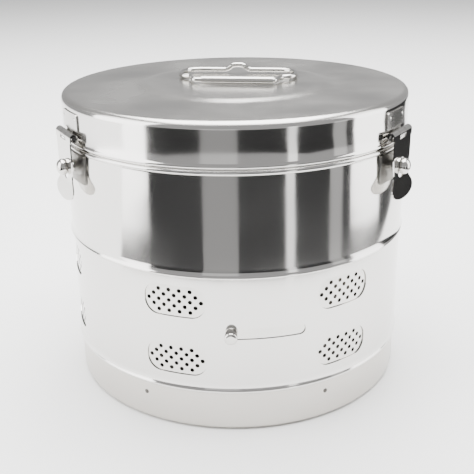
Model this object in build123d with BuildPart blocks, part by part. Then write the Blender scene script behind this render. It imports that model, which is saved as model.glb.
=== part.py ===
from build123d import *
import math
import os

os.makedirs("parts", exist_ok=True)

# Sterilization drum. It stands on Z = 0 with its axis on Z, and all sizes are millimetres.
# An azimuth of 0 is the front (-Y); azimuths grow towards +X, anticlockwise from above.

# ---------------------------------------------------------------- driving sizes
BODY_RADIUS = 140.0         # outside of the upper shell's wall
SHEET = 0.6                 # steel sheet of the shells
NEST_GAP = 0.05             # play between two shells pushed one into the other
MOVING_GAP = 0.3            # play beside a piece that moves

BASE_HEIGHT = 32.3          # base pan below the window shell's lip
WINDOW_BAND_HEIGHT = 93.5   # window shell, from its lip to the upper shell's lip
UPPER_HEIGHT = 77.3         # upper shell, from its lip to the stop bead
OVERLAP = 6.0               # how far one shell runs up inside the next
BASE_CORNER = 4.5           # rounded foot of the base pan

LIP_HEIGHT = 7.0            # flared lip at the lower end of a shell
LIP_CREST = 2.4             # its upright crest
LIP_FLARE = 1.2             # how far a lip stands out
BEAD_HEIGHT = 4.3           # stop bead that the lid sits on
BEAD_PROUD = 1.2

COLLAR_RISE = 19.0          # neck collar above the stop bead
COLLAR_DEPTH = 12.0         # neck collar below the stop bead's top

LID_SHEET = 0.7
LID_PLAY = 0.6              # between the neck collar and the lid's skirt
LID_SEAT_GAP = 0.4          # between the stop bead and the lid's hem
LID_HEIGHT = 33.0           # skirt, hem to top
LID_CORNER = 5.5
HEM_PROUD = 0.9
HEM_HEIGHT = 4.0
BOSS_RADIUS = 69.0          # raised middle of the lid
BOSS_SLOPE = 14.0           # width of the slope round it
BOSS_RISE = 2.2

WINDOW_COLUMNS = 6
WINDOW_WIDTH = 48.4
WINDOW_TALL = 25.0
WINDOW_CORNER = 11.0
CORNER_FLATS = 2            # straights that draw its rounded corners
WINDOW_ROW_SPACING = 47.6
FIRST_WINDOW_AZIMUTH = -19.6
COLUMNS_BEFORE_FIRST = 2    # columns on the left of the first one

RING_SHEET = 0.5            # perforated shutter ring
RING_HEIGHT = 77.0
RING_FLATS = 105            # one flat for each hole pitch round the ring
FLATS_BETWEEN_COLUMNS = 16
HOLE_RADIUS = 1.5
HOLE_SIDES = 4
HOLE_ROW_PITCH = 4.15
HOLES_IN_ROWS = (4, 5, 6, 5, 4)

KNOB_AZIMUTH = -2.0
SHUTTER_TRAVEL = 21.4       # degrees, from open to closed
KNOB_RADIUS = 4.8
KNOB_REACH = 8.2            # knob outside the window shell
KNOB_BEVEL = 1.5
SHANK_RADIUS = 3.7
SLOT_HALF_HEIGHT = 4.4
NUT_FLATS = 9.0             # across the flats
NUT_THICK = 2.5

GUIDE_SHEET = 0.6
GUIDE_ARC = 6.0             # degrees of one guide clip
GUIDE_FOOT = 5.0            # part of the clip that is welded to the shell
GUIDE_HOOK = 3.0            # part that covers the ring's edge

LATCH_AZIMUTHS = {"right": 58.0, "left": -62.0, "rear": 178.0}
KEEPER_WIDTH = 44.0
KEEPER_TALL = 22.0
KEEPER_SHEET = 1.0
BALL_RADIUS = 6.25
BALL_REACH = 8.4            # from the keeper plate to the ball's centre
BALL_DROP = 25.0            # ball's centre below the hinge axis
NECK_RADIUS = 3.0
BALL_FLATS = 2              # cones that draw the ball's round
BALL_FLAT_FROM = 38.0       # degrees off its axis where they start

HINGE_PLATE_WIDTH = 32.0
HINGE_PLATE_TOP = 17.0      # plate's top above the hinge axis
HINGE_PLATE_BOTTOM = 4.0    # plate's lower edge above the hinge axis
HINGE_PLATE_CLIP = 3.0      # clipped top corners
HINGE_SHEET = 1.0
HINGE_HEIGHT = 8.7          # hinge axis above the lid's hem
HINGE_CLEAR = 0.5           # knuckles off the lid's skirt
KNUCKLE_RADIUS = 3.1
PIN_RADIUS = 1.6
PIN_GAP = 0.05
TONGUE_WIDTH = 12.0
BARREL_WIDTH = 35.0

HASP_SHEET = 1.0
HASP_BEND_AT = 34.0         # depth below the hinge axis where the finger tab turns outwards
HASP_BEND = 13.0            # degrees
HASP_OUTLINE = [            # half its width, at depths below the hinge axis
    (16.0, 4.0), (16.0, 18.0), (14.3, 31.0), (15.5, 36.5),
    (19.8, 41.5), (19.8, 44.0), (15.0, 48.0), (8.0, 50.0),
]
BALL_HOLE_GAP = 0.45        # hole's edge round the ball
BALL_HOLE_RUN = 2.5         # hole's extra length below, for the ball as the lid rises
BALL_HOLE_SIDES = 16

ROLL_SIDES = 12             # flats that draw the round of a rolled sheet

HANDLE_TURN = -7.5          # handle's line, seen from above
HANDLE_CENTRE = (2.1, -15.1)
WIRE_RADIUS = 2.0
BEND_SLACK = 8.0            # a bend gets one more flat for each such length of its radius
WIRE_GAP = 0.1              # wire in its strap
WIRE_SIDES = 8
STRAP_SHEET = 0.8
STRAP_LENGTH = 58.0
STRAP_FOOT = 6.0            # flange before the roll, at the ends
STRAP_BOW = 5.0             # how much deeper it is in the middle
BAIL_SHIFT = -3.0           # it stands a little to one side in its roll
BAIL_WIDTH = 96.0           # between wire centres
BAIL_DEPTH = 49.0
BAIL_CORNER = 20.0
SHOULDER_OUT = 5.0          # wire leaves the roll's end by this before it steps back
SHOULDER_BACK = 6.0
HUMP_WIDTH = 20.0
HUMP_RISE = 4.5
WIRE_JOINT = 0.2            # gap between the wire's two ends inside the roll

# ---------------------------------------------------------------- sizes worked out from them
UPPER_INNER = BODY_RADIUS - SHEET
WINDOW_OUTER = UPPER_INNER - NEST_GAP
WINDOW_INNER = WINDOW_OUTER - SHEET
BASE_OUTER = WINDOW_INNER - NEST_GAP
BASE_INNER = BASE_OUTER - SHEET
COLLAR_OUTER = UPPER_INNER - NEST_GAP
COLLAR_INNER = COLLAR_OUTER - SHEET
LID_INNER = COLLAR_OUTER + LID_PLAY
LID_OUTER = LID_INNER + LID_SHEET

MID_LIP_Z = BASE_HEIGHT + WINDOW_BAND_HEIGHT
STOP_Z = MID_LIP_Z + UPPER_HEIGHT
STOP_TOP_Z = STOP_Z + BEAD_HEIGHT
LID_BOTTOM_Z = STOP_TOP_Z + LID_SEAT_GAP
LID_TOP_Z = LID_BOTTOM_Z + LID_HEIGHT
BOSS_TOP_Z = LID_TOP_Z + BOSS_RISE
BAND_MIDDLE_Z = (BASE_HEIGHT + LIP_HEIGHT + MID_LIP_Z) / 2

RING_OUTER = WINDOW_INNER - MOVING_GAP
RING_INNER = RING_OUTER - RING_SHEET
RING_BOTTOM_Z = BAND_MIDDLE_Z - RING_HEIGHT / 2
RING_TOP_Z = BAND_MIDDLE_Z + RING_HEIGHT / 2
FLAT_ANGLE = 360 / RING_FLATS
COLUMN_PITCH = FLATS_BETWEEN_COLUMNS * FLAT_ANGLE

KEEPER_OUTER = BODY_RADIUS + KEEPER_SHEET
HINGE_PLATE_OUTER = LID_OUTER + HINGE_SHEET
HINGE_R = LID_OUTER + HINGE_CLEAR + KNUCKLE_RADIUS
HINGE_Z = LID_BOTTOM_Z + HINGE_HEIGHT
BALL_R = KEEPER_OUTER + BALL_REACH
BALL_Z = HINGE_Z - BALL_DROP
HASP_OUTER = HINGE_R + KNUCKLE_RADIUS
HASP_INNER = HASP_OUTER - HASP_SHEET

ROLL_RADIUS = WIRE_RADIUS + WIRE_GAP + STRAP_SHEET
ROLL_Z = BOSS_TOP_Z + ROLL_RADIUS


def radial(azimuth):
    """Outward direction at an azimuth."""
    a = math.radians(azimuth)
    return Vector(math.sin(a), -math.cos(a), 0)


def tangent(azimuth):
    """Direction round the drum at an azimuth, towards growing azimuths."""
    a = math.radians(azimuth)
    return Vector(math.cos(a), math.sin(a), 0)


def wall_plane(azimuth, radius, height):
    """Plane that faces outwards: X runs round the drum and Y runs up."""
    return Plane(radial(azimuth) * radius + Vector(0, 0, height), tangent(azimuth), radial(azimuth))


def side_plane(azimuth, height=0):
    """Plane through the drum's axis: X is the distance from the axis and Y runs up."""
    return Plane((0, 0, height), radial(azimuth), tangent(azimuth) * -1)


def save(part, name):
    part.label = name
    export_step(part, f"parts/{name}.step")


def lip(inner, wall, bottom):
    """Profile of a flared lip: its lower edge, its crest and the slope up to the wall."""
    crest = wall + LIP_FLARE
    return [(inner, bottom), (crest, bottom), (crest, bottom + LIP_CREST), (wall, bottom + LIP_HEIGHT)]


def rounded(radius, centre_r, centre_z, start, end, flats):
    """Points on a rounded corner, drawn with a few flats."""
    angles = [math.radians(start + (end - start) * i / flats) for i in range(flats + 1)]
    return [(centre_r + radius * math.cos(a), centre_z + radius * math.sin(a)) for a in angles]


# ---------------------------------------------------------------- body shells
# Each shell runs up inside the one above, and its lower end flares out over the one below.
with BuildPart() as upper_shell:
    with BuildSketch(Plane.XZ):
        with BuildLine():
            Polyline(
                *lip(UPPER_INNER, BODY_RADIUS, MID_LIP_Z),
                (BODY_RADIUS, STOP_Z),
                (BODY_RADIUS + BEAD_PROUD, STOP_Z + BEAD_HEIGHT * 0.4),
                (BODY_RADIUS + BEAD_PROUD, STOP_TOP_Z),
                (UPPER_INNER, STOP_TOP_Z),
                close=True,
            )
        make_face()
    revolve(axis=Axis.Z)
save(upper_shell.part, "upper_shell")

# The collar is a hoop inside the neck that guides the lid.
with BuildPart() as neck_collar:
    with BuildSketch(Plane.XY.offset(STOP_TOP_Z - COLLAR_DEPTH)):
        Circle(COLLAR_OUTER)
        Circle(COLLAR_INNER, mode=Mode.SUBTRACT)
    extrude(amount=COLLAR_DEPTH + COLLAR_RISE)
save(neck_collar.part, "neck_collar")

COLUMN_AZIMUTHS = [
    FIRST_WINDOW_AZIMUTH + COLUMN_PITCH * (i - COLUMNS_BEFORE_FIRST) for i in range(WINDOW_COLUMNS)
]
ROW_HEIGHTS = [BAND_MIDDLE_Z - WINDOW_ROW_SPACING / 2, BAND_MIDDLE_Z + WINDOW_ROW_SPACING / 2]
SLOT_AZIMUTH = KNOB_AZIMUTH + SHUTTER_TRAVEL / 2
SLOT_RUN = 2 * WINDOW_OUTER * math.sin(math.radians(SHUTTER_TRAVEL / 2))
CUT_DEPTH = 8 * SHEET

right, top = WINDOW_WIDTH / 2 - WINDOW_CORNER, WINDOW_TALL / 2 - WINDOW_CORNER
window_outline = [
    *rounded(WINDOW_CORNER, right, top, 0, 90, CORNER_FLATS),
    *rounded(WINDOW_CORNER, -right, top, 90, 180, CORNER_FLATS),
    *rounded(WINDOW_CORNER, -right, -top, 180, 270, CORNER_FLATS),
    *rounded(WINDOW_CORNER, right, -top, 270, 360, CORNER_FLATS),
]

with BuildPart() as window_shell:
    with BuildSketch(Plane.XZ):
        with BuildLine():
            Polyline(
                *lip(WINDOW_INNER, WINDOW_OUTER, BASE_HEIGHT),
                (WINDOW_OUTER, MID_LIP_Z + OVERLAP),
                (WINDOW_INNER, MID_LIP_Z + OVERLAP),
                close=True,
            )
        make_face()
    revolve(axis=Axis.Z)
    with BuildSketch(*[wall_plane(a, WINDOW_INNER - CUT_DEPTH, z) for a in COLUMN_AZIMUTHS for z in ROW_HEIGHTS]):
        Polygon(*window_outline, align=None)
    extrude(amount=2 * CUT_DEPTH, mode=Mode.SUBTRACT)
    with BuildSketch(wall_plane(SLOT_AZIMUTH, WINDOW_INNER - CUT_DEPTH, BAND_MIDDLE_Z)):
        SlotCenterToCenter(SLOT_RUN, 2 * SLOT_HALF_HEIGHT)
    extrude(amount=2 * CUT_DEPTH, mode=Mode.SUBTRACT)
save(window_shell.part, "window_shell")

with BuildPart() as base_pan:
    with BuildSketch(Plane.XZ):
        with BuildLine():
            Polyline(
                (0, 0),
                *rounded(BASE_CORNER, BASE_OUTER - BASE_CORNER, BASE_CORNER, -90, 0, 2),
                (BASE_OUTER, BASE_HEIGHT + OVERLAP),
                (BASE_INNER, BASE_HEIGHT + OVERLAP),
                (BASE_INNER, BASE_CORNER),
                (BASE_OUTER - BASE_CORNER, SHEET),
                (0, SHEET),
                close=True,
            )
        make_face()
    revolve(axis=Axis.Z)
save(base_pan.part, "base_pan")

# ---------------------------------------------------------------- shutter
# A ring inside the window shell carries the perforated fields. At rest they stand in the
# windows; pushed round by its knob, its plain stretches close them.
hole_planes = []
for column in COLUMN_AZIMUTHS:
    for row_z in ROW_HEIGHTS:
        for line, count in enumerate(HOLES_IN_ROWS):
            z = row_z + HOLE_ROW_PITCH * (line - (len(HOLES_IN_ROWS) - 1) / 2)
            for i in range(count):
                azimuth = column + FLAT_ANGLE * (i - (count - 1) / 2)
                hole_planes.append(wall_plane(azimuth, RING_INNER - RING_SHEET, z))

with BuildPart() as shutter_ring:
    with BuildSketch(Plane.XY.offset(RING_BOTTOM_Z)):
        turn = FIRST_WINDOW_AZIMUTH - 90 + FLAT_ANGLE / 2
        RegularPolygon(RING_OUTER, RING_FLATS, rotation=turn)
        RegularPolygon(RING_INNER, RING_FLATS, rotation=turn, mode=Mode.SUBTRACT)
    extrude(amount=RING_HEIGHT)
    with BuildSketch(*hole_planes):
        RegularPolygon(HOLE_RADIUS, HOLE_SIDES)
    extrude(amount=3 * RING_SHEET, mode=Mode.SUBTRACT)
    with BuildSketch(wall_plane(KNOB_AZIMUTH, RING_INNER - RING_SHEET, BAND_MIDDLE_Z)):
        Circle(SHANK_RADIUS + NEST_GAP)
    extrude(amount=3 * RING_SHEET, mode=Mode.SUBTRACT)
save(shutter_ring.part, "shutter_ring")

knob_axis = Axis((0, 0, BAND_MIDDLE_Z), radial(KNOB_AZIMUTH))
KNOB_BACK = WINDOW_OUTER + 2 * MOVING_GAP
KNOB_FRONT = WINDOW_OUTER + KNOB_REACH
NUT_SEAT = RING_INNER * math.cos(math.radians(FLAT_ANGLE / 2)) - NEST_GAP

with BuildPart() as shutter_knob:
    with BuildSketch(side_plane(KNOB_AZIMUTH, BAND_MIDDLE_Z)):
        with BuildLine():
            Polyline(
                (NUT_SEAT - NUT_THICK, 0),
                (KNOB_FRONT, 0),
                (KNOB_FRONT, KNOB_RADIUS - KNOB_BEVEL),
                (KNOB_FRONT - KNOB_BEVEL, KNOB_RADIUS),
                (KNOB_BACK, KNOB_RADIUS),
                (KNOB_BACK, SHANK_RADIUS),
                (NUT_SEAT - NUT_THICK, SHANK_RADIUS),
                close=True,
            )
        make_face()
    revolve(axis=knob_axis)
save(shutter_knob.part, "shutter_knob")

with BuildPart() as knob_nut:
    with BuildSketch(wall_plane(KNOB_AZIMUTH, NUT_SEAT - NUT_THICK, BAND_MIDDLE_Z)):
        RegularPolygon(NUT_FLATS / 2, 6, major_radius=False)
        Circle(SHANK_RADIUS, mode=Mode.SUBTRACT)
    extrude(amount=NUT_THICK)
save(knob_nut.part, "knob_nut")

# Guide clips stand between the window columns: a foot on the shell, a step over the ring's
# edge and a hook behind it.
HOOK_OUTER = RING_INNER - MOVING_GAP
GUIDE_AZIMUTHS = [a + COLUMN_PITCH / 2 for a in COLUMN_AZIMUTHS]


def guide_profile(edge, way):
    """A clip beside the ring's edge; way is +1 above the ring and -1 below it."""
    step = edge + way * MOVING_GAP
    return [
        (WINDOW_INNER, step),
        (WINDOW_INNER, step + way * GUIDE_FOOT),
        (WINDOW_INNER - GUIDE_SHEET, step + way * GUIDE_FOOT),
        (WINDOW_INNER - GUIDE_SHEET, step + way * GUIDE_SHEET),
        (HOOK_OUTER - GUIDE_SHEET, step + way * GUIDE_SHEET),
        (HOOK_OUTER - GUIDE_SHEET, edge - way * GUIDE_HOOK),
        (HOOK_OUTER, edge - way * GUIDE_HOOK),
        (HOOK_OUTER, step),
    ]


for name, edge, way in (("upper_guides", RING_TOP_Z, 1), ("lower_guides", RING_BOTTOM_Z, -1)):
    with BuildPart() as guides:
        for azimuth in GUIDE_AZIMUTHS:
            with BuildSketch(side_plane(azimuth - GUIDE_ARC / 2)):
                with BuildLine():
                    Polyline(*guide_profile(edge, way), close=True)
                make_face()
            revolve(axis=Axis.Z, revolution_arc=GUIDE_ARC)
    save(guides.part, name)

# ---------------------------------------------------------------- lid
with BuildPart() as lid_shell:
    with BuildSketch(Plane.XZ):
        with BuildLine():
            Polyline(
                (0, BOSS_TOP_Z),
                (BOSS_RADIUS, BOSS_TOP_Z),
                (BOSS_RADIUS + BOSS_SLOPE, LID_TOP_Z),
                *rounded(LID_CORNER, LID_OUTER - LID_CORNER, LID_TOP_Z - LID_CORNER, 90, 0, 2),
                (LID_OUTER, LID_BOTTOM_Z + HEM_HEIGHT),
                (LID_OUTER + HEM_PROUD, LID_BOTTOM_Z + HEM_HEIGHT / 2),
                (LID_OUTER + HEM_PROUD, LID_BOTTOM_Z),
                (LID_INNER, LID_BOTTOM_Z),
                (LID_INNER, LID_TOP_Z - LID_CORNER),
                (LID_OUTER - LID_CORNER, LID_TOP_Z - LID_SHEET),
                (BOSS_RADIUS + BOSS_SLOPE, LID_TOP_Z - LID_SHEET),
                (BOSS_RADIUS, BOSS_TOP_Z - LID_SHEET),
                (0, BOSS_TOP_Z - LID_SHEET),
                close=True,
            )
        make_face()
    revolve(axis=Axis.Z)
save(lid_shell.part, "lid_shell")

handle_plane = Plane(
    (HANDLE_CENTRE[0], HANDLE_CENTRE[1], ROLL_Z),
    (math.cos(math.radians(HANDLE_TURN)), math.sin(math.radians(HANDLE_TURN)), 0),
    (0, 0, 1),
)
roll_plane = Plane(handle_plane.origin, handle_plane.y_dir, handle_plane.x_dir)

# The strap is rolled round the wire, and its flange lies on the boss in front of the roll.
with BuildPart() as handle_strap:
    with BuildSketch(roll_plane):
        RegularPolygon(ROLL_RADIUS, ROLL_SIDES, major_radius=False, rotation=180 / ROLL_SIDES)
        with Locations((-ROLL_RADIUS, -ROLL_RADIUS + STRAP_SHEET / 2)):
            Rectangle(2 * ROLL_RADIUS, STRAP_SHEET)
        Circle(WIRE_RADIUS + WIRE_GAP, mode=Mode.SUBTRACT)
    extrude(amount=STRAP_LENGTH / 2, both=True)
    with BuildSketch(handle_plane.offset(-ROLL_RADIUS)):
        with BuildLine():
            Polyline(
                (-STRAP_LENGTH / 2, -STRAP_FOOT),
                (-STRAP_LENGTH / 2, -ROLL_RADIUS),
                (STRAP_LENGTH / 2, -ROLL_RADIUS),
                (STRAP_LENGTH / 2, -STRAP_FOOT),
            )
            ThreePointArc(
                (STRAP_LENGTH / 2, -STRAP_FOOT),
                (0, -STRAP_FOOT - STRAP_BOW),
                (-STRAP_LENGTH / 2, -STRAP_FOOT),
            )
        make_face()
    extrude(amount=STRAP_SHEET)
save(handle_strap.part, "handle_strap")


def bent(corners, radii):
    """A wire's route with each corner rounded by a few short straights."""
    route = [Vector(*corners[0])]
    for before, corner, after, radius in zip(corners, corners[1:], corners[2:], radii):
        corner = Vector(*corner)
        back = (Vector(*before) - corner).normalized()
        on = (Vector(*after) - corner).normalized()
        run = radius * math.tan(math.radians((180 - back.get_angle(on)) / 2))
        flats = 2 + int(radius / BEND_SLACK)
        for t in [i / flats for i in range(flats + 1)]:
            route.append(corner + back * (run * (1 - t) ** 2) + on * (run * t**2))
    return route + [Vector(*corners[-1])]


# The bail's wire runs through the roll, steps back beside it and goes round to the back run,
# where a hump lets a finger under it.
half = BAIL_WIDTH / 2
shoulder = STRAP_LENGTH / 2 + SHOULDER_OUT
right_half = [
    (WIRE_JOINT / 2, 0, 0),
    (shoulder, 0, 0),
    (shoulder + SHOULDER_BACK / 2, SHOULDER_BACK, 0),
    (half, 2 * SHOULDER_BACK, 0),
    (half, BAIL_DEPTH, 0),
    (HUMP_WIDTH / 2, BAIL_DEPTH, 0),
    (HUMP_WIDTH / 4, BAIL_DEPTH, HUMP_RISE),
]
left_half = [(-x, y, z) for x, y, z in reversed(right_half)]
bend_radii = [3, 4, 14, BAIL_CORNER, 6, 6]
wire_route = bent(right_half + left_half, bend_radii + bend_radii[::-1])
wire_runs = [(b - a).normalized() for a, b in zip(wire_route, wire_route[1:])]

with BuildPart() as lid_bail:
    for spot, before, after in zip(wire_route, wire_runs[:1] + wire_runs, wire_runs + wire_runs[-1:]):
        centre = handle_plane.from_local_coords(spot + Vector(BAIL_SHIFT, 0, 0))
        way = handle_plane.from_local_coords(before + after) - handle_plane.origin
        with BuildSketch(Plane(centre, Vector(0, 0, 1).cross(way), way)):
            RegularPolygon(WIRE_RADIUS, WIRE_SIDES)
    loft(ruled=True)
save(lid_bail.part, "lid_bail")

# ---------------------------------------------------------------- latches
# Three alike: a hinge plate on the lid, a hasp that swings on its pin, and a ball stud on a
# keeper plate on the body. The hasp's hole drops over the ball.
with BuildPart() as ball_studs:
    for azimuth in LATCH_AZIMUTHS.values():
        with BuildSketch(side_plane(azimuth, BALL_Z)):
            with BuildLine():
                outline = rounded(BALL_RADIUS, BALL_R, 0, BALL_FLAT_FROM, 180 - BALL_FLAT_FROM, BALL_FLATS)
                Polyline(
                    (KEEPER_OUTER, 0),
                    (outline[0][0], 0),
                    *outline,
                    (BALL_R - BALL_RADIUS, NECK_RADIUS),
                    (KEEPER_OUTER, NECK_RADIUS),
                    close=True,
                )
            make_face()
        revolve(axis=Axis((0, 0, BALL_Z), radial(azimuth)))
save(ball_studs.part, "ball_studs")

with BuildPart() as hinge_pins:
    for azimuth in LATCH_AZIMUTHS.values():
        pin_plane = Plane(radial(azimuth) * HINGE_R + Vector(0, 0, HINGE_Z), radial(azimuth), tangent(azimuth))
        with BuildSketch(pin_plane.offset(-BARREL_WIDTH / 2)):
            RegularPolygon(PIN_RADIUS, ROLL_SIDES)
        extrude(amount=BARREL_WIDTH)
save(hinge_pins.part, "hinge_pins")


def skin_arc(radius, width):
    """Degrees of a circle that a plate of some width takes."""
    return math.degrees(2 * math.asin(width / 2 / radius))


keeper_arc = skin_arc(BODY_RADIUS, KEEPER_WIDTH)
plate_arc = skin_arc(LID_OUTER, HINGE_PLATE_WIDTH)

for side, azimuth in LATCH_AZIMUTHS.items():
    with BuildPart() as keeper_plate:
        with BuildSketch(side_plane(azimuth - keeper_arc / 2, BALL_Z)):
            with Locations((BODY_RADIUS + KEEPER_SHEET / 2, 0)):
                Rectangle(KEEPER_SHEET, KEEPER_TALL)
        revolve(axis=Axis.Z, revolution_arc=keeper_arc)
    save(keeper_plate.part, f"keeper_plate_{side}")

# Each plate lies on the lid's skirt with its top corners clipped, and a tongue comes down from
# it and curls round the pin.
with BuildPart() as hinge_plates:
    for azimuth in LATCH_AZIMUTHS.values():
        with BuildSketch(side_plane(azimuth - plate_arc / 2, HINGE_Z)):
            with Locations((LID_OUTER + HINGE_SHEET / 2, HINGE_PLATE_BOTTOM)):
                Rectangle(HINGE_SHEET, HINGE_PLATE_TOP - HINGE_PLATE_BOTTOM, align=(Align.CENTER, Align.MIN))
        revolve(axis=Axis.Z, revolution_arc=plate_arc)
        with BuildSketch(wall_plane(azimuth, LID_OUTER - CUT_DEPTH, HINGE_Z)):
            for way in (-1, 1):
                corner = way * HINGE_PLATE_WIDTH / 2
                inner = corner - way * HINGE_PLATE_CLIP
                beyond = corner + way * HINGE_PLATE_CLIP
                Polygon(
                    (inner, HINGE_PLATE_TOP),
                    (corner, HINGE_PLATE_TOP - HINGE_PLATE_CLIP),
                    (beyond, HINGE_PLATE_TOP - HINGE_PLATE_CLIP),
                    (beyond, HINGE_PLATE_TOP + 1),
                    (inner, HINGE_PLATE_TOP + 1),
                    align=None,
                )
        extrude(amount=2 * CUT_DEPTH, mode=Mode.SUBTRACT)
        with BuildSketch(side_plane(azimuth, HINGE_Z).offset(-TONGUE_WIDTH / 2)):
            Polygon(
                (LID_OUTER + NEST_GAP, HINGE_PLATE_BOTTOM + 1),
                (LID_OUTER + NEST_GAP, 1),
                (HINGE_R - KNUCKLE_RADIUS * 0.8, 0),
                (HINGE_PLATE_OUTER, HINGE_PLATE_BOTTOM + 1),
                align=None,
            )
            with Locations((HINGE_R, 0)):
                RegularPolygon(KNUCKLE_RADIUS, ROLL_SIDES, major_radius=False, rotation=180 / ROLL_SIDES)
                RegularPolygon(PIN_RADIUS + PIN_GAP, ROLL_SIDES, major_radius=False, mode=Mode.SUBTRACT)
        extrude(amount=TONGUE_WIDTH)
save(hinge_plates.part, "hinge_plates")

tab_depth = HASP_OUTLINE[-1][1]
tab_out = (tab_depth - HASP_BEND_AT) * math.tan(math.radians(HASP_BEND))
widest = max(width for width, depth in HASP_OUTLINE)
hasp_right = [(BARREL_WIDTH / 2, KNUCKLE_RADIUS + 1), (BARREL_WIDTH / 2, -HASP_OUTLINE[0][1])]
hasp_right += [(width, -depth) for width, depth in HASP_OUTLINE]
hasp_outline = hasp_right + [(-width, height) for width, height in reversed(hasp_right)]
hole_points = []
for i in range(BALL_HOLE_SIDES):
    a = 2 * math.pi * (i + 0.5) / BALL_HOLE_SIDES
    drop = BALL_DROP + (BALL_HOLE_RUN if math.sin(a) < 0 else 0)
    hole = BALL_RADIUS + BALL_HOLE_GAP
    hole_points.append((hole * math.cos(a), hole * math.sin(a) - drop))

for side, azimuth in LATCH_AZIMUTHS.items():
    with BuildPart() as hasp:
        # Bent sheet and its knuckle, seen from the side
        with BuildSketch(side_plane(azimuth, HINGE_Z).offset(-widest)):
            Polygon(
                (HASP_INNER, 0),
                (HASP_OUTER, 0),
                (HASP_OUTER, -HASP_BEND_AT),
                (HASP_OUTER + tab_out, -tab_depth),
                (HASP_OUTER + tab_out - HASP_SHEET, -tab_depth),
                (HASP_INNER, -HASP_BEND_AT),
                align=None,
            )
            with Locations((HINGE_R, 0)):
                RegularPolygon(KNUCKLE_RADIUS, ROLL_SIDES, major_radius=False, rotation=180 / ROLL_SIDES)
                RegularPolygon(PIN_RADIUS + PIN_GAP, ROLL_SIDES, major_radius=False, mode=Mode.SUBTRACT)
        extrude(amount=2 * widest)
        # Its outline, seen from the front, with the room for the tongue and the ball's hole
        with BuildSketch(wall_plane(azimuth, LID_OUTER, HINGE_Z)):
            Polygon(*hasp_outline, align=None)
            Rectangle(TONGUE_WIDTH + 2 * MOVING_GAP, 2 * KNUCKLE_RADIUS + 2 * MOVING_GAP, mode=Mode.SUBTRACT)
            Polygon(*hole_points, align=None, mode=Mode.SUBTRACT)
        extrude(amount=4 * KNUCKLE_RADIUS, mode=Mode.INTERSECT)
    save(hasp.part, f"hasp_{side}")
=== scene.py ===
# %% [markdown]
# # A sterilization drum
# This lesson dresses a steel drum for its picture. The drum is a set of thin stainless sheets:
# rolled walls, a pressed lid, bent latches and a wire handle. A frame with the exact sizes and
# joints is loaded first. Each visible sheet is then built again with its true curves, so that the
# polished steel has smooth surfaces to mirror, and it rides on the same moving body as before.

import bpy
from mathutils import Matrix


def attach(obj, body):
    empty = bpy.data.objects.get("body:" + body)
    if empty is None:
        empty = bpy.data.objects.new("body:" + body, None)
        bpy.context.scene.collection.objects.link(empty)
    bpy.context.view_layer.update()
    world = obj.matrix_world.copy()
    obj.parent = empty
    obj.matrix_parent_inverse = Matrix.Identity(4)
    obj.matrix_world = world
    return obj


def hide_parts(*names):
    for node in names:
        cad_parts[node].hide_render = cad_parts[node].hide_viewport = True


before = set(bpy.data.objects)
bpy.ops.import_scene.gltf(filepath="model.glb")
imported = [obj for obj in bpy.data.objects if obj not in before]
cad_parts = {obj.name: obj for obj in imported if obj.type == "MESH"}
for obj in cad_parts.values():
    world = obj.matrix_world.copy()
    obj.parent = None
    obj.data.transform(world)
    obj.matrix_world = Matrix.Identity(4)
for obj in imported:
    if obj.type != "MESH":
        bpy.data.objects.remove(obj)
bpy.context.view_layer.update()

# %% Tools of the lesson
import math

import bmesh
import bpy
import numpy as np
from mathutils import Matrix, Vector
from mathutils.geometry import delaunay_2d_cdt

MM = 0.001

# %% [markdown]
# ## Sizes
# All sizes are in millimetres, as a sheet metal worker would note them, and are turned to metres
# when a mesh is made. An azimuth is an angle round the drum: 0 is the front, and it grows towards
# the right.

# %% Sizes of the drum
WALL = 140.0
SHEET = 0.6
SHELL_STEP = 0.65
WINDOW_R = WALL - SHELL_STEP
BASE_R = WINDOW_R - SHELL_STEP
RING_R = WINDOW_R - SHEET - 0.3
RING_SHEET = 0.5
LID_R = 140.65
LID_SHEET = 0.7
LOWER_LIP_Z = 32.3
MIDDLE_LIP_Z = 125.8
STOP_Z = 203.1
STOP_TOP_Z = 207.4
LID_Z = 207.8
LID_TOP_Z = 240.8
BOSS_TOP_Z = 243.0
BAND_Z = 82.55
LATCHES = {"right": 58.0, "left": -62.0, "rear": 178.0}
HINGE_R = LID_R + 3.6
HINGE_Z = 216.5
BALL_R = 149.4
BALL_Z = 191.5
COLUMN_PITCH = 16 * 360 / 105
COLUMNS = [-19.6 + COLUMN_PITCH * k for k in range(-2, 4)]
ROWS = [BAND_Z - 23.8, BAND_Z + 23.8]
print("window columns at", [round(a, 1) for a in COLUMNS])

# %% [markdown]
# ## Meshes from curves
# Everything here is turned, rolled or bent, so three makers are enough. One turns a profile round
# an axis, as a lathe does. One sweeps a circle along a path for wire. One cuts an outline with
# holes out of flat sheet and bends it into place, which is how the real parts were made.

# %% One mesh from points and faces, in millimetres
def mesh_piece(name, points, faces, body, steel, sharp=35):
    """Makes a mesh that rides on a body, smooth except at edges sharper than an angle."""
    mesh = bpy.data.meshes.new(name)
    mesh.from_pydata((np.asarray(points) * MM).tolist(), [], faces)
    work = bmesh.new()
    work.from_mesh(mesh)
    bmesh.ops.remove_doubles(work, verts=work.verts, dist=0.002 * MM)
    bmesh.ops.recalc_face_normals(work, faces=work.faces)
    work.to_mesh(mesh)
    work.free()
    mesh.shade_smooth()
    mesh.set_sharp_from_angle(angle=math.radians(sharp))
    mesh.materials.append(steel)
    piece = bpy.data.objects.new(name, mesh)
    bpy.context.collection.objects.link(piece)
    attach(piece, body)
    return piece


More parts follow.
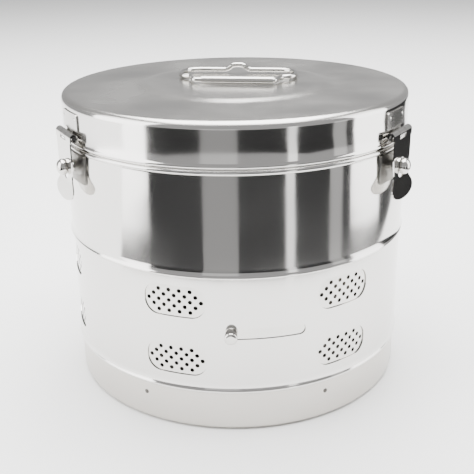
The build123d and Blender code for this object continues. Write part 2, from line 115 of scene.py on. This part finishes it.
# %% Turning a closed profile round Z
def turned_points(profile, steps):
    turn = np.linspace(0, 2 * math.pi, steps, endpoint=False)
    r, z = np.array(profile, dtype=float).T
    points = np.stack(
        [np.outer(r, np.cos(turn)), np.outer(r, np.sin(turn)), np.outer(z, np.ones(steps))], axis=2
    )
    faces = []
    count = len(profile)
    for j in range(count):
        k = (j + 1) % count
        if r[j] == 0 and r[k] == 0:
            continue
        for i in range(steps):
            n = (i + 1) % steps
            quad = [j * steps + i, j * steps + n, k * steps + n, k * steps + i]
            if r[j] == 0:
                quad = [j * steps, k * steps + n, k * steps + i]
            elif r[k] == 0:
                quad = [j * steps + i, j * steps + n, k * steps]
            faces.append(quad)
    return points.reshape(-1, 3), faces


def arc(r, z, radius, start, end, steps=8):
    """Points on a circular arc of a profile, between two angles in degrees."""
    turn = np.radians(np.linspace(start, end, steps + 1))
    return [(r + radius * math.cos(t), z + radius * math.sin(t)) for t in turn]


# %% Placing things round the drum
def across(azimuth, t, r, z):
    """A point t to the side, r out from the axis and z up, on straight axes."""
    a = math.radians(azimuth)
    return (r * math.sin(a) + t * math.cos(a), -r * math.cos(a) + t * math.sin(a), z)


def around(azimuth, t, r, z):
    """The same, with t measured round the wall."""
    a = math.radians(azimuth) + t / r
    return (r * math.sin(a), -r * math.cos(a), z)


def turned_out(azimuth, z, profile, steps=40):
    """A profile of (distance from the drum's axis, radius) turned round an outward line."""
    points, faces = turned_points([(radius, out) for out, radius in profile], steps)
    return [across(azimuth, x, out, z + y) for x, y, out in points], faces


# %% [markdown]
# A sheet with holes is first laid flat. A constrained Delaunay triangulation fills the outline and
# keeps each hole's edge, and the triangles inside a hole are thrown away. Extra lines across the
# flat sheet give it places to bend. Every point is then moved to where bending takes it, once for
# each side of the sheet, and the free edges are joined.

# %% Cutting and bending a sheet
def circle(x, y, radius, steps=20):
    turn = np.linspace(0, 2 * math.pi, steps, endpoint=False)
    return [(x + radius * math.cos(t), y + radius * math.sin(t)) for t in turn]


def rounded_box(x, y, wide, tall, corner, steps=8):
    w, h = wide / 2 - corner, tall / 2 - corner
    corners = [(w, h, 0), (-w, h, 90), (-w, -h, 180), (w, -h, 270)]
    outline = []
    for cx, cy, start in corners:
        outline += arc(x + cx, y + cy, corner, start, start + 90, steps)
    return outline


def inside(points, loop):
    """Which points lie inside a closed loop."""
    x, y = points.T
    result = np.zeros(len(points), dtype=bool)
    for (x0, y0), (x1, y1) in zip(loop, loop[1:] + loop[:1]):
        if y0 == y1:
            continue
        crosses = (y0 > y) != (y1 > y)
        result ^= crosses & (x < (x1 - x0) * (y - y0) / (y1 - y0) + x0)
    return result


def cut_sheet(outline, holes, bends_x, bends_y, place):
    """Points and faces of a sheet; place(x, y, side) gives a point with side 0 or 1."""
    flat = []
    edges = []
    for loop in [outline, *holes]:
        first = len(flat)
        flat += loop
        edges += [(first + i, first + (i + 1) % len(loop)) for i in range(len(loop))]
    low, high = np.min(outline, axis=0), np.max(outline, axis=0)
    for x in bends_x:
        edges.append((len(flat), len(flat) + 1))
        flat += [(x, low[1]), (x, high[1])]
    for y in bends_y:
        edges.append((len(flat), len(flat) + 1))
        flat += [(low[0], y), (high[0], y)]
    verts, _, triangles, *_ = delaunay_2d_cdt([Vector(p) for p in flat], edges, [], 0, 1e-5)
    verts = np.array([tuple(v) for v in verts])
    triangles = np.array([t for t in triangles])
    middles = verts[triangles].mean(axis=1)
    keep = inside(middles, outline)
    for hole in holes:
        reach = np.max(np.abs(np.array(hole) - np.mean(hole, axis=0)), axis=0) + 0.1
        near = np.all(np.abs(middles - np.mean(hole, axis=0)) < reach, axis=1)
        keep[near] &= ~inside(middles[near], hole)
    triangles = triangles[keep]
    count = len(verts)
    faces = [tuple(t) for t in triangles] + [tuple(t[::-1] + count) for t in triangles]
    pairs = np.concatenate([triangles[:, [0, 1]], triangles[:, [1, 2]], triangles[:, [2, 0]]])
    seen = {tuple(p) for p in pairs}
    for a, b in seen:
        if (b, a) not in seen:
            faces.append((b, a, a + count, b + count))
    points = [place(x, y, side) for side in (0, 1) for x, y in verts]
    used = sorted({i for face in faces for i in face})
    renumber = {old: new for new, old in enumerate(used)}
    return [points[i] for i in used], [[renumber[i] for i in face] for face in faces]


# %% Sweeping wire along a path
def wire(path, radius, sides=20):
    """A round wire with flat ends along a list of points."""
    path = np.array(path, dtype=float)
    run = np.diff(path, axis=0)
    run /= np.linalg.norm(run, axis=1)[:, None]
    ways = np.vstack([run[:1], run[:-1] + run[1:], run[-1:]])
    ways /= np.linalg.norm(ways, axis=1)[:, None]
    side = np.cross(ways, (0, 0, 1))
    side /= np.linalg.norm(side, axis=1)[:, None]
    up = np.cross(side, ways)
    turn = np.linspace(0, 2 * math.pi, sides, endpoint=False)
    points = (
        path[:, None]
        + radius * np.cos(turn)[None, :, None] * side[:, None]
        + radius * np.sin(turn)[None, :, None] * up[:, None]
    ).reshape(-1, 3)
    faces = [list(range(sides))[::-1], [len(points) - sides + i for i in range(sides)]]
    for j in range(len(path) - 1):
        for i in range(sides):
            n = (i + 1) % sides
            faces.append([j * sides + i, j * sides + n, (j + 1) * sides + n, (j + 1) * sides + i])
    return points, faces


# %% [markdown]
# ## Stainless steel
# The whole drum is austenitic stainless steel, 18 percent chromium and 8 percent nickel. Its
# colour is a slightly warm grey, and what makes one part differ from the next is how the surface
# was worked. Rolled walls were buffed on a turning drum, so they have fine lines round them. The
# lid was pressed and rubbed to a satin. The small fittings were barrel polished. A metal mirrors
# its surroundings in its own colour, so each finish is a metallic shader with its own roughness
# and its own fine relief. The rivet heads alone are painted dark. Their colour is a painted
# reflection of the dark that the small domes mirror, not a darker steel.

# %% Colours and nodes
def linear(hexa):
    """An sRGB hex colour as linear values."""
    channels = [int(hexa[i : i + 2], 16) / 255 for i in (1, 3, 5)]
    return tuple(c / 12.92 if c <= 0.04045 else ((c + 0.055) / 1.055) ** 2.4 for c in channels) + (1,)


def add_node(tree, kind, settings=None, values=None):
    """Adds a node, sets its properties, and sets or links its inputs."""
    new = tree.nodes.new(kind)
    for key, value in (settings or {}).items():
        setattr(new, key, value)
    for key, value in (values or {}).items():
        if isinstance(value, bpy.types.NodeSocket):
            tree.links.new(value, new.inputs[key])
        else:
            new.inputs[key].default_value = value
    return new


# %% Steel finishes
def steel_finish(name, colour, roughness, lines, depth, wave=0.0, wave_size=60.0, spread=0.05):
    """A stainless finish. lines is the spacing in mm of its fine relief along X, Y and Z."""
    steel = bpy.data.materials.new(name)
    steel.use_nodes = True
    tree = steel.node_tree
    tree.nodes.clear()
    place = add_node(tree, "ShaderNodeTexCoord").outputs["Object"]
    scale = [1 / (gap * MM) for gap in lines]
    grain_place = add_node(
        tree, "ShaderNodeMapping", values={"Vector": place, "Scale": scale}
    ).outputs["Vector"]
    grain = add_node(
        tree, "ShaderNodeTexNoise", values={"Vector": grain_place, "Scale": 1.0, "Detail": 3.0}
    ).outputs["Fac"]
    handling = add_node(
        tree,
        "ShaderNodeTexNoise",
        values={"Vector": place, "Scale": 1 / (wave_size * MM), "Detail": 2.0},
    ).outputs["Fac"]
    rough = add_node(
        tree,
        "ShaderNodeMapRange",
        values={
            "Value": handling,
            "From Min": 0.3,
            "From Max": 0.7,
            "To Min": roughness - spread,
            "To Max": roughness + spread,
        },
    ).outputs["Result"]
    relief = add_node(
        tree,
        "ShaderNodeBump",
        values={"Height": grain, "Distance": depth * MM, "Strength": 1.0},
    ).outputs["Normal"]
    if wave:
        relief = add_node(
            tree,
            "ShaderNodeBump",
            values={"Height": handling, "Distance": wave * MM, "Strength": 1.0, "Normal": relief},
        ).outputs["Normal"]
    shader = add_node(
        tree,
        "ShaderNodeBsdfPrincipled",
        values={"Base Color": linear(colour), "Metallic": 1.0, "Roughness": rough, "Normal": relief},
    )
    add_node(tree, "ShaderNodeOutputMaterial", values={"Surface": shader.outputs["BSDF"]})
    return steel


wall_steel = steel_finish(
    "stainless steel, rolled and buffed",
    "#DAD8D5",
    0.10,
    (12, 12, 0.5),
    0.0008,
    wave=0.16,
    spread=0.03,
)
base_steel = steel_finish(
    "stainless steel, drawn and brushed", "#CBC7C1", 0.22, (12, 12, 0.5), 0.0015, wave=0.06
)
lid_steel = steel_finish(
    "stainless steel, pressed and satin", "#C6C4C0", 0.24, (0.8, 0.8, 0.8), 0.001, wave=0.02
)
ring_steel = steel_finish("stainless steel, perforated sheet", "#D8D6D2", 0.15, (0.8, 0.8, 0.8), 0.0006)
bright_steel = steel_finish(
    "stainless steel, barrel polished", "#D4D2CE", 0.07, (0.8, 0.8, 0.8), 0.0006, spread=0.02
)
# Rivet heads: the dark colour is a painted reflection, standing in for the dark that the small domes mirror.
rivet_painted_reflection_steel = steel_finish("stainless steel, dull rivet heads", "#5E5C58", 0.35, (0.5, 0.5, 0.5), 0.002)
keeper_steel = steel_finish("stainless steel, scuffed plate", "#8E8C88", 0.32, (0.6, 0.6, 0.6), 0.003)

# %% [markdown]
# ## Walls of the drum
# Three shells stand one in the other. Each one's lower end flares over the shell below, and the
# rounded crest of that lip catches a bright line all round. The upper shell also has the bead
# that the lid sits on. They are turned from closed profiles, with enough steps round the drum
# that the silhouette shows no corners.

# %% Lip profile
ROUND_STEPS = 288


def lip_profile(wall, bottom):
    """Outer side of a flared lip: under the crest, round it and up the cove to the wall."""
    crest = arc(wall - 0.8, bottom + 2.0, 2.0, -75, 38, 10)
    end_r, end_z = crest[-1]
    cove = []
    for t in np.linspace(0, 1, 9)[1:]:
        out = (end_r - wall) * (1 - t) ** 2
        cove.append((wall + out, end_z + (bottom + 8.0 - end_z) * t))
    return crest + cove


# %% Upper shell with the stop bead
profile = [(WALL - SHEET, MIDDLE_LIP_Z)]
profile += lip_profile(WALL, MIDDLE_LIP_Z)
profile += [(WALL, 160.0), (WALL, STOP_Z - 0.4)]
profile += arc(WALL - 0.9, STOP_Z + 2.2, 2.05, -62, 62, 10)
profile += [(WALL - 0.3, STOP_TOP_Z), (WALL - SHEET, STOP_TOP_Z)]
points, faces = turned_points(profile, ROUND_STEPS)
upper = mesh_piece("upper_wall", points, faces, "drum", wall_steel)
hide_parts("upper_shell")
print("upper wall faces", len(faces))

# %% Base pan
profile = [(0, 0), (BASE_R - 8, 0)]
profile += arc(BASE_R - 4.5, 4.5, 4.5, -90, 0, 10)
profile += [(BASE_R, 38.3), (BASE_R - SHEET, 38.3)]
profile += arc(BASE_R - 4.5, 4.5, 3.9, 0, -90, 10)
profile += [(BASE_R - 8, SHEET), (0, SHEET)]
points, faces = turned_points(profile, ROUND_STEPS)
base = mesh_piece("base_pan_shell", points, faces, "drum", base_steel)
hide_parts("base_pan")

# %% [markdown]
# The base pan is held by small domed rivets under the lower lip. They are small fasteners, so
# they exist only here, each a shallow cap turned round a line that points out of the wall.

# %% Rivets of the base
rivet_profile = [(BASE_R - 0.2, 1.9), *arc(BASE_R - 1.9, 0, 2.7, 42, 0, 8)]
rivet_profile = [(out, max(radius, 0)) for out, radius in rivet_profile] + [(BASE_R - 0.2, 0)]
# The rivets take the dark steel, whose colour is a painted reflection.
for k in range(6):
    points, faces = turned_out(29.0 + 60 * k, 23.5, rivet_profile, 24)
    mesh_piece(f"base_rivet_{k + 1}", points, faces, "drum", rivet_painted_reflection_steel)

# %% [markdown]
# The window shell is one strip of sheet, rolled into a hoop. Two rows of windows with rounded
# corners and the slot for the knob were cut while it was flat, so it is made the same way: a long
# flat strip with holes, wrapped round the drum. The lip is part of the strip, so its points
# stand out by the lip's flare.

# %% Window shell
def lip_flare(z, bottom):
    """How far a lip stands out of its wall at a height."""
    outline = lip_profile(0, bottom)
    heights = [p[1] for p in outline]
    return float(np.interp(z, heights, [p[0] for p in outline], right=0.0))


SEAM = 188.0 - 360.0
strip_left, strip_right = math.radians(SEAM) * WINDOW_R, math.radians(SEAM + 360) * WINDOW_R
strip_top = MIDDLE_LIP_Z + 6
windows = []
for azimuth in COLUMNS:
    for z in ROWS:
        x = math.radians(azimuth if azimuth > SEAM else azimuth + 360) * WINDOW_R
        windows.append(rounded_box(x, z, 48.4, 25.0, 11.0, 9))
slot_middle = math.radians(8.7) * WINDOW_R
windows.append(rounded_box(slot_middle, BAND_Z, math.radians(21.4) * WINDOW_R + 8.8, 8.8, 4.39, 9))
lip_rows = [z for r, z in lip_profile(0, LOWER_LIP_Z)]
outline = [
    (strip_left, LOWER_LIP_Z),
    (strip_right, LOWER_LIP_Z),
    (strip_right, strip_top),
    (strip_left, strip_top),
]


def wrap_window_shell(x, z, side):
    r = WINDOW_R - SHEET if side else WINDOW_R + lip_flare(z, LOWER_LIP_Z)
    a = x / WINDOW_R
    return (r * math.sin(a), -r * math.cos(a), z)


folds = np.linspace(strip_left, strip_right, ROUND_STEPS + 1)[1:-1]
points, faces = cut_sheet(outline, windows, folds, lip_rows[1:], wrap_window_shell)
window_wall = mesh_piece("window_wall", points, faces, "drum", wall_steel, sharp=50)
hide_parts("window_shell")
print("window wall faces", len(faces))

# %% [markdown]
# ## The shutter
# Behind the windows a perforated ring slides round. Its holes are 3.3 mm wide, in fields of 24
# that match the windows, in rows of 4, 5, 6, 5 and 4. A knob on a shank passes through the slot.

# %% Perforated ring
holes = []
for azimuth in COLUMNS:
    for row_z in ROWS:
        for line, count in enumerate((4, 5, 6, 5, 4)):
            for i in range(count):
                a = azimuth + 360 / 105 * (i - (count - 1) / 2)
                x = math.radians(a if a > SEAM else a + 360) * RING_R
                holes.append(circle(x, row_z + 4.15 * (line - 2), 1.65, 18))
ring_left, ring_right = math.radians(SEAM) * RING_R, math.radians(SEAM + 360) * RING_R
outline = [(ring_left, 44.05), (ring_right, 44.05), (ring_right, 121.05), (ring_left, 121.05)]


def wrap_ring(x, z, side):
    r = RING_R - RING_SHEET if side else RING_R
    a = x / RING_R
    return (r * math.sin(a), -r * math.cos(a), z)


folds = np.linspace(ring_left, ring_right, ROUND_STEPS + 1)[1:-1]
points, faces = cut_sheet(outline, holes, folds, [], wrap_ring)
ring = mesh_piece("perforated_ring", points, faces, "shutter", ring_steel, sharp=50)
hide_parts("shutter_ring")
print("perforated ring faces", len(faces), "holes", len(holes))

# %% Knob
knob_profile = [(WINDOW_R - 3.8, 0), (WINDOW_R - 3.8, 3.7), (WINDOW_R + 0.6, 3.7)]
knob_profile += arc(WINDOW_R + 1.4, 4.0, 0.8, 180, 90, 5)
knob_profile += arc(WINDOW_R + 6.4, 3.0, 1.8, 90, 25, 8)
knob_profile += [(WINDOW_R + 8.15, 2.4), (WINDOW_R + 8.2, 0)]
points, faces = turned_out(-2.0, BAND_Z, knob_profile, 48)
knob = mesh_piece("turned_knob", points, faces, "shutter", bright_steel)
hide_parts("shutter_knob")

# %% [markdown]
# ## The lid
# The lid is a pressing: a deep skirt with a rolled hem, a tight round corner, a flat rim and a
# raised middle. The slope round the raised middle is what draws the bright crescent in front of
# the handle, so it gets a smooth curve and not a plain cone. Its top is satin, and its skirt was
# buffed as bright as the wall, so the mesh carries both finishes.

# %% Lid shell
def eased(t):
    return t * t * (3 - 2 * t)


slope_out = [(83 - 14 * t, LID_TOP_Z + 2.2 * eased(t)) for t in np.linspace(0, 1, 13)]
profile = [(0, BOSS_TOP_Z), (35, BOSS_TOP_Z)]
profile += slope_out[::-1]
profile += [(110, LID_TOP_Z)]
profile += arc(LID_R - 5.5, LID_TOP_Z - 5.5, 5.5, 90, 0, 12)
profile += [(LID_R, 228), (LID_R, LID_Z + 4.4)]
profile += arc(LID_R - 0.95, LID_Z + 2.0, 1.85, 48, -80, 10)
profile += [(LID_R - LID_SHEET, LID_Z), (LID_R - LID_SHEET, LID_TOP_Z - 6)]
profile += arc(LID_R - 5.5, LID_TOP_Z - 5.5, 4.8, 0, 90, 8)
profile += [(r, z - LID_SHEET) for r, z in slope_out]
profile += [(0, BOSS_TOP_Z - LID_SHEET)]
points, faces = turned_points(profile, ROUND_STEPS)
lid = mesh_piece("lid", points, faces, "lid", lid_steel)
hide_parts("lid_shell")
lid.data.materials.append(wall_steel)
for face in lid.data.polygons:
    x, y, z = face.center / MM
    if z < LID_TOP_Z - 3 and math.hypot(x, y) > LID_R - 1.5:
        face.material_index = 1
print("lid faces", len(faces))

# %% [markdown]
# ## The handle
# A strap of sheet is rolled round the straight run of a wire and welded to the raised middle by
# the flange in front. The wire comes out of the roll, steps back and goes round in a wide loop,
# with a hump in the back run for a finger. It hinges in the roll.

# %% Handle axes
HANDLE_TURN = math.radians(-7.5)
HANDLE_MIDDLE = np.array([2.1, -15.1, BOSS_TOP_Z + 2.9])
ALONG = np.array([math.cos(HANDLE_TURN), math.sin(HANDLE_TURN), 0])
BEHIND = np.array([-math.sin(HANDLE_TURN), math.cos(HANDLE_TURN), 0])
UP = np.array([0, 0, 1.0])


def on_handle(x, y, z):
    return tuple(HANDLE_MIDDLE + x * ALONG + y * BEHIND + z * UP)


# %% Rolled strap
ROLL_MIDDLE = 2.5
FLANGE_FRONT = [-11.0 + 5.0 * (x / 29) ** 2 for x in np.linspace(-29, 29, 25)]


def bend_strap(x, y, side):
    """y below 0 is the flange in front, and above 0 the sheet goes round the wire."""
    half = 0.4 if side else -0.4
    if y < 0:
        return on_handle(x, y, -ROLL_MIDDLE + half)
    turn = y / ROLL_MIDDLE - math.pi / 2
    r = ROLL_MIDDLE - half
    return on_handle(x, r * math.cos(turn), r * math.sin(turn))


roll_end = ROLL_MIDDLE * math.radians(318)
outline = list(zip(np.linspace(-29, 29, 25), FLANGE_FRONT)) + [(29, roll_end), (-29, roll_end)]
outline = [(float(x), float(y)) for x, y in outline]
points, faces = cut_sheet(outline, [], [], np.linspace(0, roll_end, 40)[:-1], bend_strap)
strap = mesh_piece("rolled_strap", points, faces, "lid", lid_steel, sharp=50)
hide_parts("handle_strap")

# %% Wire bail
def rounded_route(corners, radii, steps=8):
    """A route through corners, each rounded by an arc of its radius."""
    corners = [np.array(c, dtype=float) for c in corners]
    route = [corners[0]]
    for before, corner, after, radius in zip(corners, corners[1:], corners[2:], radii):
        back = (before - corner) / np.linalg.norm(before - corner)
        on = (after - corner) / np.linalg.norm(after - corner)
        half = math.acos(max(-1, min(1, float(back @ on)))) / 2
        middle = corner + (back + on) / np.linalg.norm(back + on) * radius / math.sin(half)
        start = corner + back * radius / math.tan(half) - middle
        end = corner + on * radius / math.tan(half) - middle
        sweep = math.pi - 2 * half
        for i in range(steps + 1):
            t = i / steps * sweep
            route.append(middle + (start * math.sin(sweep - t) + end * math.sin(t)) / math.sin(sweep))
    return route + [corners[-1]]


right_half = [
    (0.1, 0, 0),
    (32.5, 0, 0),
    (37, 15, 0),
    (48, 19, 0),
    (48, 49, 0),
    (10, 49, 0),
    (4, 49, 4.2),
]
left_half = [(-x, y, z) for x, y, z in reversed(right_half)]
radii = [3, 5, 12, 15, 7, 7]
loop = [(x - 2.5 if abs(x) < 11 and y else x, y, z) for x, y, z in right_half + left_half]
route = [on_handle(x - 3.0, y, z) for x, y, z in rounded_route(loop, radii + radii[::-1])]
points, faces = wire(route, 2.0)
bail = mesh_piece("wire_bail", points, faces, "bail", bright_steel)
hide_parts("lid_bail")
print("bail length", round(sum(math.dist(a, b) for a, b in zip(route, route[1:])), 1), "mm")

# %% [markdown]
# ## The latches
# Each latch has a keeper plate with a ball stud on the wall, a hinge plate on the lid's skirt and
# a hasp that swings on a pin. The hasp is one strip: its top is curled into two knuckles round
# the pin, its hole drops over the ball, and its end is bent out and spread for the fingers.

# %% Keeper plates and ball studs
ball_profile = [(WALL + 1.0, 0), (WALL + 1.0, 4.6), (WALL + 2.0, 4.6), (WALL + 2.3, 4.3), (WALL + 2.3, 3.1)]
ball_profile += arc(BALL_R, 0, 6.25, 150, 0, 24)
BALL_FLAT = 4.85 / 6.25
ball_profile = [
    (BALL_R + (out - BALL_R) * (BALL_FLAT if out > BALL_R else 1), max(radius, 0.0))
    for out, radius in ball_profile
]
for side, azimuth in LATCHES.items():
    def bend_keeper(t, z, back):
        return around(azimuth, t, WALL + (0.02 if back else 1.0), z)

    outline = rounded_box(0, BALL_Z, 44, 22, 2.0, 5)
    points, faces = cut_sheet(outline, [], np.linspace(-22, 22, 21)[1:-1], [], bend_keeper)
    name = f"keeper_plate_cover_{side}"
    keeper = mesh_piece(name, points, faces, "drum", keeper_steel, sharp=50)
    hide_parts(f"keeper_plate_{side}")
stud_points, stud_faces = [], []
for azimuth in LATCHES.values():
    points, faces = turned_out(azimuth, BALL_Z, ball_profile, 48)
    first = len(stud_points)
    stud_points += points
    stud_faces += [[first + i for i in face] for face in faces]
studs = mesh_piece("turned_ball_studs", stud_points, stud_faces, "drum", bright_steel)
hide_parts("ball_studs")

# %% Hinge plates with their weld dimples
KNUCKLE_MIDDLE = 2.6


def bend_hinge(azimuth):
    """y is the height above the hinge axis; below 4 the tongue turns out and round the pin."""
    inner_r = LID_R + 0.05
    drop = HINGE_R - KNUCKLE_MIDDLE - inner_r - 0.5

    def place(t, y, back):
        half = 0.0 if back else 1.0
        if y >= 4:
            return around(azimuth, t, inner_r + half, HINGE_Z + y)
        if y >= 0:
            lean = drop * eased(1 - y / 4)
            return across(azimuth, t, inner_r + half + lean, HINGE_Z + y)
        turn = math.pi - y / KNUCKLE_MIDDLE
        r = KNUCKLE_MIDDLE + (0.5 if back else -0.5)
        return across(azimuth, t, HINGE_R + r * math.cos(turn), HINGE_Z + r * math.sin(turn))

    return place


curl = -KNUCKLE_MIDDLE * math.radians(300)
plate_outline = [(-6, curl), (6, curl), (6, 4.0), (16, 4.0)]
plate_outline += arc(13.0, 14.0, 3.0, 0, 90, 6) + arc(-13.0, 14.0, 3.0, 90, 180, 6) + [(-16, 4.0), (-6, 4.0)]
plate_points, plate_faces = [], []
for azimuth in LATCHES.values():
    points, faces = cut_sheet(
        plate_outline,
        [],
        np.linspace(-16, 16, 17)[1:-1],
        [*np.linspace(curl, 0, 36)[1:], 1, 2, 3, 4],
        bend_hinge(azimuth),
    )
    first = len(plate_points)
    plate_points += points
    plate_faces += [[first + i for i in face] for face in faces]
plates = mesh_piece("bent_hinge_plates", plate_points, plate_faces, "lid", lid_steel, sharp=50)
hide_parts("hinge_plates")
for side, azimuth in LATCHES.items():
    for t in (-11.5, 11.5):
        turn = azimuth + math.degrees(t / LID_R)
        dimple = [(LID_R + 0.9, 1.7), *arc(LID_R - 1.3, 0, 2.75, 38, 0, 6), (LID_R + 0.9, 0)]
        points, faces = turned_out(turn, HINGE_Z + 12.5, dimple, 20)
        mesh_piece(f"weld_{side}_{'a' if t < 0 else 'b'}", points, faces, "lid", lid_steel)

# %% Hasps
HASP_WIDTHS = [
    (0.0, 16.0), (8.0, 16.0), (18.0, 15.8), (25.0, 14.8), (31.0, 14.2), (34.0, 14.6), (37.0, 16.6),
    (40.0, 19.2), (42.5, 19.9), (45.0, 19.0), (47.4, 15.8), (49.2, 9.5), (50.0, 3.0),
]


def smooth_through(points, steps=4):
    """A smooth line through points, by the Catmull-Rom formula."""
    points = [np.array(p, dtype=float) for p in points]
    padded = [2 * points[0] - points[1], *points, 2 * points[-1] - points[-2]]
    line = []
    for a, b, c, d in zip(padded, padded[1:], padded[2:], padded[3:]):
        for t in np.arange(steps) / steps:
            square = (2 * a - 5 * b + 4 * c - d) * t**2
            cube = (3 * b - a - 3 * c + d) * t**3
            line.append(0.5 * (2 * b + (c - a) * t + square + cube))
    return [(float(x), float(y)) for x, y in line + [points[-1]]]


def bend_hasp(azimuth):
    """y below 0 goes down the hasp, which bends out at 31 to 37; above 0 it curls round the pin."""
    bend = math.radians(13)

    def place(t, y, back):
        half = -0.5 if back else 0.5
        if y > 0:
            turn = y / KNUCKLE_MIDDLE
            r = KNUCKLE_MIDDLE + half
            return across(azimuth, t, HINGE_R + r * math.cos(turn), HINGE_Z + r * math.sin(turn))
        down = -y
        turn = bend * min(1, max(0, (down - 31) / 6))
        along = min(down, 31)
        out = 0.0
        if down > 31:
            run = min(down - 31, 6)
            radius = 6 / bend
            swing = run / radius
            along += radius * math.sin(swing)
            out += radius * (1 - math.cos(swing))
        if down > 37:
            along += (down - 37) * math.cos(bend)
            out += (down - 37) * math.sin(bend)
        r = HINGE_R + KNUCKLE_MIDDLE + out + half * math.cos(turn)
        return across(azimuth, t, r, HINGE_Z - along + half * math.sin(turn))

    return place


right_edge = smooth_through([(width, -down) for down, width in HASP_WIDTHS])
curl = KNUCKLE_MIDDLE * math.radians(305)
knuckle = [(6.3, 3.4), (6.3, curl), (17.5, curl), (17.5, -3.4), (16.0, -4.2)]
right_edge = [p for p in right_edge if p[1] < -4.6]
hasp_outline = [(6.3, -3.4)] + knuckle[1:] + right_edge
hasp_outline += [(-x, y) for x, y in reversed(hasp_outline)]
upper_half = [p for p in circle(0, -25, 6.7, 32) if p[1] >= -25]
lower_half = [p for p in circle(0, -27.5, 6.7, 32) if p[1] <= -27.5]
ball_hole = sorted(upper_half, key=lambda p: -p[0]) + sorted(lower_half, key=lambda p: p[0])
for side, azimuth in LATCHES.items():
    points, faces = cut_sheet(
        hasp_outline,
        [ball_hole],
        [],
        [*np.linspace(0, curl, 40)[:-1], *np.linspace(-37, -31, 7)],
        bend_hasp(azimuth),
    )
    name = f"hasp_strip_{side}"
    hasp = mesh_piece(name, points, faces, f"hasp_{side}", bright_steel, sharp=50)
    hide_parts(f"hasp_{side}")
print("hasp faces", len(faces))

# %% [markdown]
# The pieces that stay hidden or show only as a thin edge keep the frame's own shape: the neck
# collar inside the lid, the guide clips, the nut and the hinge pins. They only need their finish.

# %% Finish of the remaining pieces
FINISH = {
    "neck_collar": wall_steel,
    "upper_guides": ring_steel,
    "lower_guides": ring_steel,
    "knob_nut": bright_steel,
    "hinge_pins": bright_steel,
}
for name, steel in FINISH.items():
    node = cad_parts[name]
    node.data.materials.clear()
    node.data.materials.append(steel)

# %% [markdown]
# ## The picture
# Polished steel is drawn by what it mirrors. The camera looks down at 21 degrees, so the drum's
# wall mirrors what lies in front of it and lower: the white table in the lower band, and in the
# upper band what lies past the table's edge. The table's front is rounded, 0.42 m from the drum's
# middle, and the studio floor 0.75 m below it is plain dark grey, so the upper band is darker.

# %% Table and studio floor
def stage_sheet(name, corners, colour):
    """A flat, matt sheet of the studio."""
    paint = bpy.data.materials.new(name)
    paint.use_nodes = True
    shader = paint.node_tree.nodes["Principled BSDF"]
    shader.inputs["Base Color"].default_value = linear(colour)
    shader.inputs["Roughness"].default_value = 0.9
    mesh = bpy.data.meshes.new(name)
    mesh.from_pydata(corners, [], [list(range(len(corners)))])
    mesh.materials.append(paint)
    sheet = bpy.data.objects.new(name, mesh)
    bpy.context.collection.objects.link(sheet)
    return sheet


TABLE_FRONT = 0.42
table_edge = [
    (TABLE_FRONT * math.sin(t), -TABLE_FRONT * math.cos(t), 0)
    for t in np.radians(np.linspace(-71, 90, 60))
]
table_edge += [(2.2, 5, 0), (-3, 5, 0), (-3, -1.03, 0)]
stage_sheet("table", table_edge, "#FBFBFA")
stage_sheet("studio_floor", [(-8, -8, -0.75), (8, -8, -0.75), (8, 8, -0.75), (-8, 8, -0.75)], "#2E2E2F")

# %% [markdown]
# Soft lights are large, so their edges in the steel are wide bands. Three white strip lights stand
# low in front of the table, where the upper wall mirrors them as upright stripes. Each has an
# azimuth, a width in metres and a power in watts. One box behind the drum is high enough to be
# mirrored by the slope of the lid's raised middle.

# %% Lights
def soft_light(name, place, target, wide, tall, power):
    light = bpy.data.lights.new(name, "AREA")
    light.shape = "RECTANGLE"
    light.size = wide
    light.size_y = tall
    light.energy = power
    lamp = bpy.data.objects.new(name, light)
    bpy.context.collection.objects.link(lamp)
    lamp.location = place
    lamp.rotation_euler = (Vector(target) - Vector(place)).to_track_quat("-Z", "Y").to_euler()


soft_light("soft light above", (0, 0.3, 2.2), (0, 0.1, 0.1), 2.4, 2.4, 210)
soft_light("soft light left", (-2.0, -0.5, 0.6), (0, 0, 0.15), 1.6, 2.6, 80)
soft_light("soft light right", (2.1, 0.1, 0.6), (0, 0, 0.15), 1.2, 2.6, 50)
soft_light("soft box behind", (0.25, 1.6, 1.9), (0, 0, 0.24), 0.9, 0.35, 18)
STRIPS = [(-10, 0.7, 0.9), (34, 0.17, 1.2), (66, 0.3, 0.6)]
STRIP_DISTANCE = 1.8
STRIP_TALL = 1.1
STRIP_Z = -0.2
for number, (azimuth, wide, power) in enumerate(STRIPS):
    turn = math.radians(azimuth)
    spot = (STRIP_DISTANCE * math.sin(turn), -STRIP_DISTANCE * math.cos(turn), STRIP_Z)
    soft_light(f"strip light {number + 1}", spot, (0, 0, STRIP_Z), wide, STRIP_TALL, power)

world = bpy.data.worlds.new("studio walls")
bpy.context.scene.world = world
world.use_nodes = True
world.node_tree.nodes["Background"].inputs["Color"].default_value = linear("#EFEFF0")
world.node_tree.nodes["Background"].inputs["Strength"].default_value = 0.6

# %% [markdown]
# The camera stands in front of the drum and looks down on it. Its place, its focal length in
# pixels of the square picture and its small shift were fitted to the drum's lips and outline.

# %% Camera
PICTURE = 474
FOCAL_PIXELS = 824.1
SENSOR = 36
LOOKS_DOWN = 20.745
LEANS = -0.0127
camera = bpy.data.cameras.new("camera")
camera.sensor_width = SENSOR
camera.lens = FOCAL_PIXELS * SENSOR / PICTURE
camera.shift_x = 0.39 / PICTURE
camera.shift_y = -5.04 / PICTURE
viewer = bpy.data.objects.new("camera", camera)
bpy.context.collection.objects.link(viewer)
viewer.location = (0, -0.67588, 0.36604)
viewer.rotation_euler = (
    Matrix.Rotation(math.radians(90 - LOOKS_DOWN), 3, "X") @ Matrix.Rotation(LEANS, 3, "Z")
).to_euler()
bpy.context.scene.camera = viewer
